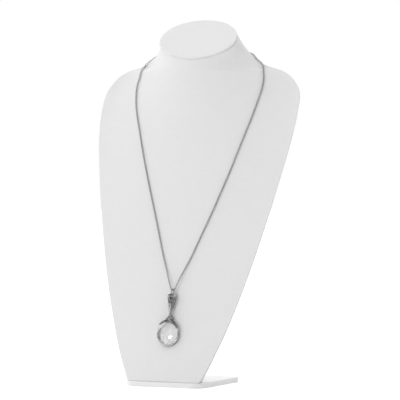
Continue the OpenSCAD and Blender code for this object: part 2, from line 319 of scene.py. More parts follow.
def weave_height(tree, u, v):
    """A plain weave's height, where u and v count its threads each way."""

    def thread(across, along, phase):
        place = math_node(tree, "FRACT", across)
        crown = math_node(tree, "SINE", math_node(tree, "MULTIPLY", place, math.pi))
        turn = math_node(tree, "ADD", math_node(tree, "FLOOR", across), along)
        turn = math_node(tree, "MULTIPLY", math_node(tree, "ADD", turn, phase), math.pi)
        over = math_node(tree, "MULTIPLY", math_node(tree, "COSINE", turn), 0.5)
        return math_node(tree, "MULTIPLY", crown, math_node(tree, "ADD", over, 0.5))

    return math_node(tree, "MAXIMUM", thread(u, v, 0.5), thread(v, u, -0.5))


def linen():
    """White linen stretched over the bust: fine threads, with a thicker one here and there."""
    thread = 0.00055
    wander_scale, wander_threads = 90.0, 0.9
    slub_fine, slub_long = 900.0, 60.0
    weave_share, slub_share = 0.35, 0.6
    material, tree, surface = new_material("linen")
    place = add(tree, "ShaderNodeUVMap", {"uv_map": "cloth"}).outputs["UV"]
    parts = add(tree, "ShaderNodeSeparateXYZ", Vector=place).outputs
    wander = noise(tree, place, wander_scale, 2.0, True)
    wander = math_node(tree, "MULTIPLY", wander, wander_threads)
    u = math_node(tree, "ADD", math_node(tree, "DIVIDE", parts["X"], thread), wander)
    v = math_node(tree, "ADD", math_node(tree, "DIVIDE", parts["Y"], thread), wander)
    weave = weave_height(tree, u, v)

    def slubs(x_scale, y_scale):
        stretched = add(tree, "ShaderNodeMapping", Vector=place, Scale=(x_scale, y_scale, 1.0))
        return noise(tree, stretched.outputs["Vector"], 1.0, 3.0, True)

    thick = math_node(tree, "ADD", slubs(slub_fine, slub_long), slubs(slub_long, slub_fine))
    shade = math_node(tree, "ADD", math_node(tree, "MULTIPLY", weave, weave_share), thick)
    colour = ramp(tree, math_node(tree, "MULTIPLY", shade, 0.6), [(0.35, 0.785), (1.0, 0.825)])
    height = math_node(tree, "ADD", weave, math_node(tree, "MULTIPLY", thick, slub_share))
    bumped(tree, surface, height, 0.00007, 0.5)
    set_inputs(
        tree, surface, Base_Color=colour, Roughness=0.85, Specular_IOR_Level=0.2,
        Sheen_Weight=0.15, Sheen_Roughness=0.5,
    )
    return material


def lacquer():
    """Satin white lacquer on the steel plate, with a faint orange peel."""
    peel_scale, cloud_scale = 700.0, 25.0
    material, tree, surface = new_material("plate_lacquer")
    place = add(tree, "ShaderNodeTexCoord").outputs["Object"]
    cloud = noise(tree, place, cloud_scale, 3.0)
    colour = ramp(tree, cloud, [(0.3, 0.88), (0.7, 0.91)])
    rough = ramp(tree, cloud, [(0.3, 0.34), (0.7, 0.42)])
    set_inputs(tree, surface, Base_Color=colour, Roughness=rough)
    bumped(tree, surface, noise(tree, place, peel_scale, 2.0), 0.00002, 0.3)
    return material


def silver(name, dark, light, roughness, wear_and_shade=False):
    """Tarnished silver tone. Where asked, the mesh's own value of wear and painted light makes its
    recesses dark and its crests rubbed bright, and carries its painted shadows and painted light."""
    cloud_scale, grain_scale, patchiness = 450.0, 2600.0, 0.22
    material, tree, surface = new_material(name)
    place = add(tree, "ShaderNodeTexCoord").outputs["Object"]
    cloud = noise(tree, place, cloud_scale, 4.0)
    shade = cloud
    if wear_and_shade:
        level = add(tree, "ShaderNodeAttribute", {"attribute_name": "wear_and_shade"}).outputs["Fac"]
        patchy = math_node(tree, "SUBTRACT", cloud, 0.5)
        patchy = math_node(tree, "MULTIPLY", patchy, patchiness)
        shade = math_node(tree, "ADD", level, patchy)
    colour = ramp(tree, shade, [(0.2, dark), (0.8, light)])
    rough = ramp(tree, cloud, [(0.3, roughness * 0.8), (0.7, roughness * 1.25)])
    set_inputs(tree, surface, Metallic=1.0, Base_Color=colour, Roughness=rough)
    bumped(tree, surface, noise(tree, place, grain_scale, 2.0), 0.00002, 0.25)
    return material


def clear_glass():
    """Clear polished glass that lets light through to the linen behind it."""
    material, tree, surface = new_material("lens_glass")
    place = add(tree, "ShaderNodeTexCoord").outputs["Object"]
    haze = ramp(tree, noise(tree, place, 300.0, 3.0), [(0.4, 0.0), (0.8, 0.03)])
    white = (1, 1, 1, 1)
    set_inputs(
        tree, surface, Base_Color=white, Transmission_Weight=1.0, IOR=1.5, Roughness=haze
    )
    clear = add(tree, "ShaderNodeBsdfTransparent", Color=(0.98, 0.98, 0.98, 1)).outputs["BSDF"]
    is_shadow = add(tree, "ShaderNodeLightPath").outputs["Is Shadow Ray"]
    both = add(tree, "ShaderNodeMixShader", _0=is_shadow, _1=surface.outputs["BSDF"], _2=clear)
    set_inputs(tree, tree.nodes["Material Output"], Surface=both.outputs["Shader"])
    return material


FINISH = {
    "linen": linen(),
    "plate_lacquer": lacquer(),
    "chain_metal": silver("chain_metal", 0.25, 0.45, 0.28),
    "frame_metal": silver("frame_metal", 0.015, 0.62, 0.26, wear_and_shade=True),
    "lens_glass": clear_glass(),
}

# The bust: linen over a solid body, with an oval disc set on top of the neck.

AROUND = 200
ANGLES = np.arange(AROUND) * 2 * math.pi / AROUND - math.pi / 2
# The torso's rows of points crowd towards its top as this power is more than 1.
TORSO_ROWS, NECK_ROWS, CROWDING = 110, 44, 1.35
# The foot's rounded edge, the neck's under the disc, and how far both faces there run in.
HEM, LIP, INSET = 1.6, 0.5, 4
DISC_T, DISC_GAP, DISC_PROUD = 2.4, 0.6, 0.35
DISC_FILLET, DISC_LOW_FILLET = 1.0, 0.35
DISC_SHARES = (0.08, 0.2, 0.35, 0.5, 0.65, 0.8, 0.93)


def cloth_map(mesh, places):
    """Writes each corner's place on the cloth. A row has one place more than it has points: the
    back's second one, where the cloth's two edges meet."""
    layer = mesh.uv_layers.new(name="cloth")
    back = AROUND // 2
    for polygon in mesh.polygons:
        past_back = len(polygon.vertices) == 4 and any(
            v % AROUND == back + 1 for v in polygon.vertices
        )
        for loop in polygon.loop_indices:
            row, column = divmod(mesh.loops[loop].vertex_index, AROUND)
            layer.data[loop].uv = places[row][AROUND if past_back and column == back else column]


def ring_places(ring, height):
    """Places on the cloth round a ring: the way from the front both ways, at that height."""
    step = np.linalg.norm(np.roll(ring, -1, 0) - ring, axis=1)
    way = np.concatenate([[0], np.cumsum(step)])
    half = AROUND // 2
    way[half + 1 :] -= way[-1]
    return [(w * MM, height * MM) for w in way[:AROUND]] + [(-way[half] * MM, height * MM)]


def wall_up(t):
    """The way up the neck's wall at the oval's edge, and the way in over its face."""
    up = unit(neck_ring(1.0, t) - neck_ring(0.97, t))
    edge = oval_ring(t)
    around = np.roll(edge, -1, 0) - np.roll(edge, 1, 0)
    return up, unit(np.cross(OFF_OVAL, around))


def rounded(a, corner, b, steps):
    """Rows of points that round a corner, from a to b."""
    shares = [i / steps for i in range(steps + 1)]
    return [(1 - s) ** 2 * a + 2 * s * (1 - s) * corner + s**2 * b for s in shares]


def cloth_piece(name, rings, places, node=None):
    """A closed piece of linen over a stack of rings of the bust's own points."""
    verts = (np.array(rings).reshape(-1, 3) + SEAT) * MM
    faces = capped_faces(len(rings), AROUND)
    piece = mesh_piece(name, verts, faces, "stand", "linen", node)
    cloth_map(piece.data, places)
    return piece


def make_bust():
    up, inward = wall_up(ANGLES)
    wall = np.linalg.norm(oval_ring(ANGLES) - torso_ring(TOP, ANGLES), axis=1)
    below = DISC_T + DISC_GAP

    def wall_ring(share):
        """Up the neck to just under the disc, the same way below its edge all round."""
        stop = 1 - (below + LIP) / wall
        return np.array([neck_ring(share * s, np.array([t]))[0] for s, t in zip(stop, ANGLES)])

    heights = [1 - (1 - i / TORSO_ROWS) ** CROWDING for i in range(1, TORSO_ROWS + 1)]
    torso = [torso_ring(TOP * height, ANGLES) for height in heights]
    neck = [wall_ring(i / NECK_ROWS) for i in range(1, NECK_ROWS + 1)]
    lip = oval_ring(ANGLES) - below * up
    foot = torso_ring(0.0, ANGLES)
    out = unit(np.stack([foot[:, 0], foot[:, 1] - foot[:, 1].mean(), 0 * foot[:, 0]], 1))
    rings = rounded(foot - HEM * out, foot, torso_ring(HEM / BUST_H, ANGLES), 5)
    rings += [ring for ring in torso if ring[0, 2] > HEM]
    rings += neck + rounded(neck[-1], lip, lip + LIP * inward, 4)[1:]
    rings.append(lip + INSET * inward)
    front = np.array([ring[0] for ring in rings])
    way = np.concatenate([[0], np.cumsum(np.linalg.norm(np.diff(front, axis=0), axis=1))])
    places = [ring_places(ring, height) for ring, height in zip(rings, way)]
    return cloth_piece("bust_linen", rings, places, "neck_bust")


def make_disc():
    """The oval disc on the neck, with a rounded edge and linen of its own."""
    up, inward = wall_up(ANGLES)
    edge = oval_ring(ANGLES) - DISC_PROUD * inward
    low = edge - DISC_T * up
    rings = [low + INSET * inward]
    rings += rounded(low + DISC_LOW_FILLET * inward, low, low + DISC_LOW_FILLET * up, 3)
    rings += rounded(edge - DISC_FILLET * up, edge, edge + DISC_FILLET * inward, 8)
    centre = edge.mean(0)
    rings += [mix(rings[-1], centre, share) for share in DISC_SHARES]
    places = []
    for ring in rings:
        flat = [(p[0] * MM, float(np.dot(p - centre, UP_OVAL)) * MM) for p in ring]
        places.append([*flat, flat[AROUND // 2]])
    cloth_piece("neck_disc", rings, places)


# The chain: real oval links, each through the next, along the frame's route.

LINK_W, LINK_WIRE, LINK_PITCH, LINK_PLAY = 2.2, 0.56, 2.7, 0.03
# How far each link is turned about its length, one way and then the other, and how unevenly.
LINK_TURN, LINK_SWAY = 45, 9
# How high over the linen the middle of the chain lies.
LIE = LINK_W / 2 + 0.12
# The chain lies on the bust where its route is this near, and is free this much further out.
LAID_WITHIN, FREE_OVER = 2.1, 1.2
# How far inside the CAD clasp's two ends the chain pulls.
EYE_INSET, RING_INSET = 1.0, 1.2
ROUTE_STEPS = 24


def catmull(points, steps):
    """Points along a smooth curve through the given ones."""
    ends = [points[0], *points, points[-1]]
    way = []
    for a, b, c, d in zip(ends, ends[1:], ends[2:], ends[3:]):
        square, cube = 2 * a - 5 * b + 4 * c - d, 3 * b - a - 3 * c + d
        for i in range(steps):
            f = i / steps
            way.append(0.5 * (2 * b + (c - a) * f + square * f**2 + cube * f**3))
    return np.array(way + [points[-1]])


def clasp_ends():
    """Where the chain's two ends pull on the clasp, in the object's millimetres."""
    low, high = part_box("clasp")
    middle = (np.array(low) + np.array(high)) / 2 / MM
    left, right = low.x / MM + EYE_INSET, high.x / MM - RING_INSET
    return [np.array([x, middle[1], middle[2]]) for x in (left, right)]


def half_route(side, leg, end):
    """The chain's centreline from inside the ring up one side and round to the clasp."""
    link_c = np.array(CAUGHT) / MM
    points = [link_c + [side * x, 0, 0] + up * np.array(UP_FRONT) for x, up in V]
    points += [on_front(p) + SEAT for p in leg]
    for u, degrees, off in NECK_WAY:
        points.append(on_neck(u, degrees if side > 0 else 180 - degrees, off) + SEAT)
    before = points[0] * [-1, 1, 1] + [2 * link_c[0], 0, 0]
    return catmull([before, link_c, *points, end], ROUTE_STEPS)[ROUTE_STEPS:]


def laid(way, bust):
    """The same way, but touching the bust where it is meant to lie on it."""
    tree = BVHTree.FromObject(bust, bpy.context.evaluated_depsgraph_get())
    result = []
    for p in way:
        spot, normal, index, gap = tree.find_nearest(Vector(p * MM))
        gap /= MM
        free = min(1.0, max(0.0, (gap - LAID_WITHIN) / FREE_OVER))
        result.append(np.array(spot) / MM + np.array(normal) * mix(LIE, gap, free))
    return np.array(result)


def march(way, pitch, first):
    """Joint points a straight pitch apart along a way, the first after first."""
    joints_at, at, need = [way[0]], 0, first
    while True:
        here = joints_at[-1]
        gaps = np.linalg.norm(way[at:] - here, axis=1)
        beyond = np.nonzero(gaps >= need)[0]
        if not len(beyond):
            return np.array(joints_at)
        n = at + beyond[0]
        a, b = way[n - 1], way[n]
        ga, gb = np.linalg.norm(a - here), np.linalg.norm(b - here)
        joints_at.append(mix(a, b, (need - ga) / max(gb - ga, 1e-9)))
        at, need = n, pitch


def spaced(way, aim):
    """Joint points along a way, with the pitch near aim that ends one at the way's end."""
    count = len(march(way, aim, aim / 2))
    low, high = aim * 0.97, aim * 1.01
    for _ in range(40):
        pitch = (low + high) / 2
        points = march(way, pitch, pitch / 2)
        if len(points) < count:
            high = pitch
        else:
            low = pitch
    return points[1:]


def link_mesh(a, b, outward, turn, verts, faces):
    """One link between its pull points a and b, turned about its length."""
    wire_steps, round_steps = 8, 7
    along = unit(b - a)
    middle = (a + b) / 2
    side = unit(np.cross(outward, along))
    face = np.cross(along, side)
    side, face = (
        math.cos(turn) * side + math.sin(turn) * face,
        math.cos(turn) * face - math.sin(turn) * side,
    )
    r = (LINK_W - LINK_WIRE) / 2
    half = (np.linalg.norm(b - a) + LINK_WIRE) / 2 + LINK_PLAY - r
    path = []
    for end in (1, -1):
        for i in range(round_steps + 1):
            angle = math.pi * i / round_steps - math.pi / 2
            path.append((end * (half + r * math.cos(angle)), end * r * math.sin(angle)))
    first = len(verts)
    n = len(path)
    for i, (x, y) in enumerate(path):
        before, after = path[i - 1], path[(i + 1) % n]
        dx, dy = unit([after[0] - before[0], after[1] - before[1]])
        centre = middle + x * along + y * side
        out = dy * along - dx * side
        for j in range(wire_steps):
            angle = 2 * math.pi * j / wire_steps
            point = centre + LINK_WIRE / 2 * (math.cos(angle) * out + math.sin(angle) * face)
            verts.append(point * MM)
    faces += tube_faces(n, wire_steps, first, True)


def make_chain(bust):
    chance = random.Random(7)
    left_end, right_end = clasp_ends()
    neck_middle = np.array([0, OVAL_Y, 0]) + SEAT
    right, left = (
        spaced(laid(half_route(side, leg, end), bust), LINK_PITCH)
        for side, leg, end in ((1, RIGHT_LEG, right_end), (-1, LEFT_LEG, left_end))
    )
    line = np.concatenate([left[::-1], right])
    verts, faces = [], []
    for i, (a, b) in enumerate(zip(line, line[1:])):
        outward = (a + b) / 2 - neck_middle
        outward[2] = 0.0
        turn = (LINK_TURN if i % 2 else -LINK_TURN) + chance.uniform(-LINK_SWAY, LINK_SWAY)
        link_mesh(a, b, unit(outward), math.radians(turn), verts, faces)
    mesh_piece("chain_links", verts, faces, "stand", "chain_metal", "chain")


# The magnifier's casting, drawn in its own millimetres: x across, y up and z outward, with the
# eye at the origin. Its parts are closed shells, which a fine remesh fuses into one casting.

VOXEL = 0.13
OUT = np.array([0.0, 0.0, 1.0])
RELIEF = 0.6
# Right halves of the knob's and the crown's outlines, as the frame has them: shares of half their
# width and of their height, the knob's down from its top and the crown's up from the rim.
KNOB = [
    (0.30, 0.02), (0.58, 0.06), (0.80, 0.13), (0.93, 0.23), (0.97, 0.34), (1.00, 0.46),
    (0.95, 0.57), (0.86, 0.66), (0.85, 0.76), (0.72, 0.86), (0.65, 1.00),
]
CROWN = [
    (0.30, 1.00), (0.45, 0.87), (0.56, 0.72), (0.76, 0.60), (0.80, 0.44), (0.66, 0.29),
    (0.74, 0.16), (0.90, 0.06), (0.86, -0.17),
]
# The arms: angle from upright, and the middle and half the width as shares of the rim's radius.
RIGHT_ARM = [
    (13, 1.05, 0.125), (21, 1.03, 0.115), (29, 1.01, 0.105), (37, 0.99, 0.095),
    (45, 0.98, 0.085), (52, 0.98, 0.073), (58, 0.98, 0.058),
]
LEFT_ARM = [
    (13, 1.06, 0.125), (20, 1.06, 0.115), (27, 1.06, 0.105), (34, 1.06, 0.092),
    (40, 1.06, 0.080), (45, 1.07, 0.065), (49, 1.08, 0.048),
]
# Painted shadow lines, blackest where the relief shades itself and its recesses: on the knob and
# the crown, in their shares, and along the arms, as (angle from upright, share of the rim's
# radius), and how far they reach.
SHADOW_LINES_KNOB = [
    [(-0.85, 0.24), (-0.45, 0.10)], [(-0.12, 0.38), (0.12, 0.56)],
    [(0.80, 0.42), (0.58, 0.66)], [(-0.68, 0.56), (-0.45, 0.90)],
]
SHADOW_LINES_CROWN = [
    [(-0.05, 0.06), (0.15, 0.14), (0.38, 0.30), (0.66, 0.36)],
    [(-0.77, 0.56), (-0.66, 0.36), (-0.45, 0.22), (-0.19, 0.15)],
    [(0.41, 0.88), (0.66, 0.74), (0.82, 0.60)],
    [(-0.80, 0.15), (-0.45, -0.10), (-0.20, -0.30)],
]
SHADOW_LINES_ARMS = [
    [(-15, 1.13), (-24, 1.13), (-32, 1.13), (-40, 1.13), (-48, 1.13)],
    [(12, 1.13), (22, 1.11), (35, 1.09), (48, 1.06), (60, 1.04)],
    [(16, 0.97), (28, 0.95), (42, 0.93), (57, 0.93)],
]
SHADOW_LINE_REACH, SHADOW_LINE_DEPTH = 0.75, 1.1
# How worn plain metal is, from a recess's 0 to a crest's 1, how much a crest gains by its height
# over what is near it and further off, and how much the floor between the ornament loses.
LEVEL, SHANK_LEVEL, CREST, FLOOR_DEPTH = 0.21, 0.33, 0.28, 0.4
NEAR_STEPS, NEAR_HEIGHT, FAR_STEPS, FAR_HEIGHT = 12, 0.05, 60, 0.16
FLOOR_SLACK, RIM_SLACK = 0.16, 0.45


def on_knob(x, y):
    return (x * KNOB_W / 2, TOP_Y - y * KNOB_H)


def on_crown(x, y):
    return (x * CROWN_W / 2, CROWN_Y + y * CROWN_H)


def swept(path, wide, deep, sides=10):
    """A closed shell along a path, oval across: wide in the drawing's plane, deep outward."""
    path = np.asarray(path, float)
    along = unit(np.gradient(path, axis=0))
    side = unit(np.cross(OUT, along))
    face = np.cross(along, side)
    wide = np.broadcast_to(wide, len(path))[:, None, None]
    deep = np.broadcast_to(deep, len(path))[:, None, None]
    turn = (np.arange(sides) * 2 * math.pi / sides)[None, :, None]
    rings = path[:, None] + wide * np.cos(turn) * side[:, None]
    rings = rings + deep * np.sin(turn) * face[:, None]
    return rings.reshape(-1, 3), capped_faces(len(path), sides)


def plate(outline, holes, half):
    """A flat shell on the middle plane, with round holes given as (x, y, radius)."""
    turn = np.linspace(0, 2 * math.pi, 24, endpoint=False)
    loops = [np.asarray(outline, float)]
    loops += [np.stack([x + r * np.cos(turn), y - r * np.sin(turn)], 1) for x, y, r in holes]
    flat = [[Vector((x, y, 0)) for x, y in loop] for loop in loops]
    triangles = geometry.tessellate_polygon(flat)
    points = np.concatenate(loops)
    n = len(points)
    verts = np.concatenate([np.column_stack([points, np.full(n, z)]) for z in (half, -half)])
    faces = [tuple(t) for t in triangles] + [tuple(n + v for v in reversed(t)) for t in triangles]
    first = 0
    for loop in loops:
        m = len(loop)
        for j in range(m):
            a, b = first + j, first + (j + 1) % m
            faces.append((a, b, b + n, a + n))
        first += m
    return verts, faces


def spiral(centre, first, last, start, turns, z):
    """A path that winds in round a centre, from one radius to another."""
    s = np.linspace(0, 1, int(30 * abs(turns)) + 8)
    r = mix(first, last, s)
    a = math.radians(start) + 2 * math.pi * turns * s
    return np.stack([centre[0] + r * np.cos(a), centre[1] + r * np.sin(a), np.full_like(s, z)], 1)


def ring(centre, radius, wire, z, deep=1.0):
    return swept(spiral(centre, radius, radius, 0, 1.03, z), wire, wire * deep)


def ball(centre, radius, z, deep=1.0):
    s = np.linspace(0.03, math.pi - 0.03, 12)
    path = np.stack([np.full(12, centre[0]), centre[1] - radius * np.cos(s), np.full(12, z)], 1)
    return swept(path, radius * np.sin(s), radius * deep * np.sin(s), 14)


def bent(base, tip, bend, z, lift, steps=14):
    """A curve from base to tip that bows to its left by bend, and lifts at its tip."""
    base, tip = np.asarray(base, float), np.asarray(tip, float)
    middle = (base + tip) / 2 + bend * np.array([base[1] - tip[1], tip[0] - base[0]])
    s = np.linspace(0, 1, steps)[:, None]
    flat = (1 - s) ** 2 * base + 2 * s * (1 - s) * middle + s**2 * tip
    return np.column_stack([flat, z + lift * s**2])


def leaflet(base, tip, bend, wide, deep, z, lift=0.25):
    """Two half-leaves side by side with a vein sunk between them."""
    spine = bent(base, tip, bend, z, lift)
    full = np.sqrt(np.maximum(1 - (2 * np.linspace(0, 1, len(spine)) ** 0.8 - 1) ** 2, 0.01))
    side = unit(np.cross(OUT, np.gradient(spine, axis=0)))
    offset = 0.25 * wide * full[:, None] * side
    return [swept(spine + k * offset, 0.29 * wide * full, deep * full**0.6) for k in (-1, 1)]


def stem(base, tip, bend, thick, z, thin=0.5):
    path = bent(base, tip, bend, z, 0)
    radius = np.linspace(thick, thick * thin, len(path))
    return swept(path, radius, radius)


def flipped(shells, flip):
    """The shells mirrored: flip is -1 on each axis that turns over."""
    backward = np.prod(flip) < 0
    return [(verts * flip, turned_over(faces) if backward else faces) for verts, faces in shells]


def left_right(shells):
    return shells + flipped(shells, (-1, 1, 1))


def front_back(shells):
    return shells + flipped(shells, (1, 1, -1))


def smooth_half(table, place):
    half = catmull(np.array([place(x, y) for x, y in table]), 5)
    return half, np.concatenate([half, half[::-1] * [-1, 1]])


def knob_shells():
    half, outline = smooth_half(KNOB, on_knob)
    big, small = on_knob(0.55, 0.41), on_knob(0.39, 0.70)
    big_r, small_r = 0.146 * KNOB_W, 0.104 * KNOB_W
    holes = [(0, 0, HOLE_R)]
    for side in (-1, 1):
        holes.append((side * big[0], big[1], big_r - 0.65))
        holes.append((side * small[0], small[1], small_r - 0.5))
    z = RELIEF + 0.15
    edge = np.column_stack([half * [0.92, 1], np.full(len(half), z - 0.1)])
    right = [
        swept(edge[3:], 0.4, 0.5),
        swept(spiral(big, big_r + 0.45, 0.45, 118, -1.45, z + 0.2), 0.42, 0.62),
        swept(spiral(small, small_r + 0.35, 0.35, 75, 1.2, z + 0.1), 0.36, 0.55),
        ball((4.3, -0.75), 0.9, z + 0.1, 0.95),
        ball((4.6, -4.9), 0.48, z),
        *leaflet((2.0, 0.25), (3.75, 0.75), -0.15, 1.3, 0.55, z, 0.1),
        stem((1.5, 1.35), (2.7, 1.3), 0.15, 0.34, z),
        stem((0.35, -9.6), (3.5, -5.1), -0.2, 0.42, z),
        *leaflet((0.3, -9.4), (2.6, -9.4), 0.35, 1.4, 0.5, z, 0.0),
    ]
    middle = leaflet((0, -9.6), (0, -4.6), 0, 1.5, 0.85, z + 0.15, 0)
    middle.append(ball((0, -3.6), 0.7, z + 0.15))
    collar = ring((0, 0), HOLE_R + 0.52, 0.5, 0, 1.95)
    sides = front_back(left_right(right))
    return [plate(outline, holes, RELIEF), *sides, collar, *front_back(middle)]


def calyx(y, radius, length, count):
    """Leaves that hang round the handle from height y."""
    shells = []
    for i in range(count):
        a = 2 * math.pi * i / count
        turn = np.array([[math.cos(a), 0, math.sin(a)], [0, 1, 0], [-math.sin(a), 0, math.cos(a)]])
        reach = length * (1.3 if i % 2 else 0.85)
        leaves = leaflet((0, y), (0, y - reach), 0, 1.9, 0.3, radius, -0.1)
        shells += [(verts @ turn.T, faces) for verts, faces in leaves]
    return shells


def shank_shells():
    """The turned handle, from inside the knob down into the crown, with a collar at its foot."""
    top, foot = on_knob(0, 0.88)[1], on_crown(0, 0.92)[1]
    r, q = SHANK_TOP / 2, SHANK_TIP / 2
    profile = [
        (top, 0.6 * r), (top - 0.5, 0.88 * r), (top - 1.0, 0.98 * r), (top - 1.5, r),
        (top - 1.9, 0.93 * r), (top - 2.15, 0.86 * r), (top - 2.4, 0.93 * r),
        (top - 3.2, 0.95 * r), (top - 5, 0.88 * r), (mix(top, foot, 0.5), mix(r, q, 0.48)),
        (foot + 3.2, q + 0.16), (foot + 2.1, q), (foot + 1.75, q - 0.05), (foot + 1.55, q + 0.3),
        (foot + 1.25, q + 0.36), (foot + 1.0, q + 0.12), (foot + 0.85, q + 0.35),
        (foot + 0.5, q + 0.7), (foot + 0.1, q + 0.65), (foot - 0.15, q + 0.2), (foot - 0.5, q),
    ]
    path = np.array([(0, y, 0) for y, radius in profile])
    radii = np.array([radius for y, radius in profile])
    return [swept(path, radii, radii, 36), *calyx(top - 0.7, r - 0.12, 3.4, 10)]


def crown_shells():
    half, outline = smooth_half(CROWN, on_crown)
    eye, eye_r = on_crown(0, 0.3), 0.125 * CROWN_W
    z = RELIEF + 0.35
    lobe = on_crown(0.5, 0.53)
    edge = np.column_stack([half * [0.94, 1], np.full(len(half), z - 0.2)])
    right = [
        swept(edge[2:], 0.32, 0.5),
        swept(spiral(lobe, 1.35, 0.35, -150, 1.5, z + 0.2), 0.36, 0.5),
        ball(lobe, 0.5, z + 0.3),
        *leaflet(on_crown(0.03, 0.62), on_crown(0.3, 0.93), -0.3, 1.2, 0.5, z + 0.1),
        ball(on_crown(0.83, 0.05), 0.62, z + 0.2),
    ]
    middle = [
        *leaflet(on_crown(0, 0.5), on_crown(0, 1.02), 0, 1.5, 0.75, z + 0.2),
        ring(eye, eye_r, 0.4, z, 1.4),
    ]
    sides = front_back(left_right(right))
    return [plate(outline, [(*eye, eye_r - 0.6)], RELIEF), *sides, *front_back(middle)]


def bib_shells():
    """The crown's raised foot on the front of the rim: an arch over a dark recess, with leaves."""
    z = RIM_DEPTH / 2 + 0.2
    right = [
        stem(on_crown(0.42, -0.12), on_crown(0.0, 0.42), 0.32, 0.42, z + 0.35, 0.8),
        *leaflet(on_crown(0.1, -0.2), on_crown(0.62, 0.18), 0.3, 1.7, 0.6, z),
        *leaflet(on_crown(0.25, -0.25), on_crown(0.98, -0.02), 0.2, 1.7, 0.6, z),
    ]
    bar = [(x, CROWN_Y + 0.3 - 0.035 * x * x, 0.9) for x in np.linspace(-4.6, 4.6, 15)]
    bud = ball(on_crown(0, -0.12), 0.72, z + 0.25)
    return [*left_right(right), swept(bar, 1.3, 0.95), bud]


def arm_shells(rows, side):
    """One leafy arm: leaflets either side of a stem that follows the rim, and one at its end."""
    radius = RIM_D / 2
    z = RIM_DEPTH / 2

    def place(degrees, share):
        x, y = round_rim(degrees, share)
        return np.array([side * x, y])

    def along_arm(height):
        return np.column_stack([spine, np.full(len(spine), height)])

    spine = catmull(np.array([place(a, share) for a, share, half in rows]), 6)
    even = np.linspace(0, 1, len(spine))
    half_width = np.interp(even, np.linspace(0, 1, len(rows)), [row[2] for row in rows])
    shells = [swept(along_arm(z - 0.2), 0.85 * half_width * radius, 0.5)]
    shells.append(swept(along_arm(z + 0.55), mix(0.36, 0.14, even), mix(0.42, 0.2, even)))
    for a, share, half in rows:
        wide = 12.5 * half + 0.35
        for way in (1, -1):
            base = place(a - 4, share - 0.05 * way * half)
            tip = place(a + 3.5 + 25 * half, share + way * half * 1.1)
            shells += leaflet(base, tip, -0.3 * way * side, wide, 0.55, z + 0.12, 0.3)
    a, share, half = rows[-1]
    end = place(a + 8, share)
    return shells + leaflet(place(a - 2, share), end, 0, 1.1, 0.45, z + 0.15, 0.2)


def near_path(places, path, reach):
    """How near each place is to a path, seen from the front: 1 on it and 0 beyond its reach."""
    far = np.full(len(places), 1e9)
    for a, b in zip(path, path[1:]):
        way = b - a
        share = np.clip((places[:, :2] - a) @ way / (way @ way), 0, 1)
        gap = places[:, :2] - a - share[:, None] * way
        far = np.minimum(far, np.hypot(gap[:, 0], gap[:, 1]))
    return np.clip(1 - far / reach, 0, 1)


def round_rim(degrees, share):
    a = math.radians(degrees)
    return (share * RIM_D / 2 * math.sin(a), RIM_Y + share * RIM_D / 2 * math.cos(a))


def painted_shadow_lines():
    """The lines of painted shadow, in the casting's own millimetres."""
    lines = [[on_knob(*p) for p in line] for line in SHADOW_LINES_KNOB]
    lines += [[on_crown(*p) for p in line] for line in SHADOW_LINES_CROWN]
    lines += [[round_rim(*p) for p in line] for line in SHADOW_LINES_ARMS]
    return [catmull(np.array(line), 5) for line in lines]


def wear_and_shade_levels(mesh):
    """How worn each point is, from 0 in a recess to 1 on a crest, less the painted shadow lines on
    its front.
    """
    n, m = len(mesh.vertices), len(mesh.edges)
    places, normals = np.empty(3 * n), np.empty(3 * n)
    ends = np.empty(2 * m, int)
    mesh.vertices.foreach_get("co", places)
    mesh.vertices.foreach_get("normal", normals)
    mesh.edges.foreach_get("vertices", ends)
    places, normals, ends = places.reshape(-1, 3), normals.reshape(-1, 3), ends.reshape(-1, 2)
    count = np.bincount(ends.ravel(), minlength=n)

    def raised(steps, height):
        """How far each point stands over its neighbours, taken out by that many edges."""
        level = places
        for _ in range(steps):
            total = [
                np.bincount(ends[:, 0], level[ends[:, 1], c], n)
                + np.bincount(ends[:, 1], level[ends[:, 0], c], n)
                for c in range(3)
            ]
            level = np.stack(total, 1) / count[:, None]
        return np.einsum("ij,ij->i", places - level, normals) / height

    y, z = places[:, 1], places[:, 2]
    flat = (y > on_knob(0, 1)[1]) | (y < on_crown(0, 1)[1])
    floor = flat & (np.abs(z) < RELIEF + FLOOR_SLACK)
    floor |= (y < on_crown(0, 0.1)[1]) & (z < RIM_DEPTH / 2 + RIM_SLACK)
    level = np.where(flat, LEVEL, SHANK_LEVEL)
    level = level + CREST * raised(NEAR_STEPS, NEAR_HEIGHT) + CREST * raised(FAR_STEPS, FAR_HEIGHT)
    level -= FLOOR_DEPTH * floor
    # Painted shadow: the front is darkened along the lines where the relief shades itself.
    shadow_nearness = [near_path(places, path, SHADOW_LINE_REACH) for path in painted_shadow_lines()]
    level -= SHADOW_LINE_DEPTH * np.max(shadow_nearness, axis=0) * (z > 0)
    return np.clip(level, 0, 1)


def store_wear_and_shade(mesh, levels):
    mesh.attributes.new("wear_and_shade", "FLOAT", "POINT").data.foreach_set("value", levels)


def fused(shells, name):
    """One mesh, in the shells' own millimetres, that a fine remesh makes of them."""
    verts, faces = [], []
    for points, sides in shells:
        first = len(verts)
        verts += list(points)
        faces += [tuple(first + v for v in f) for f in sides]
    rough = bpy.data.meshes.new("rough")
    rough.from_pydata([tuple(v) for v in verts], [], faces)
    draft = new_object("draft", rough)
    remesh = draft.modifiers.new("fuse", "REMESH")
    remesh.mode = "VOXEL"
    remesh.voxel_size = VOXEL
    ease = draft.modifiers.new("ease", "SMOOTH")
    ease.factor = 0.5
    ease.iterations = 3
    done = draft.evaluated_get(bpy.context.evaluated_depsgraph_get())
    mesh = bpy.data.meshes.new_from_object(done)
    bpy.data.objects.remove(draft)
    bpy.data.meshes.remove(rough)
    mesh.name = name
    return mesh


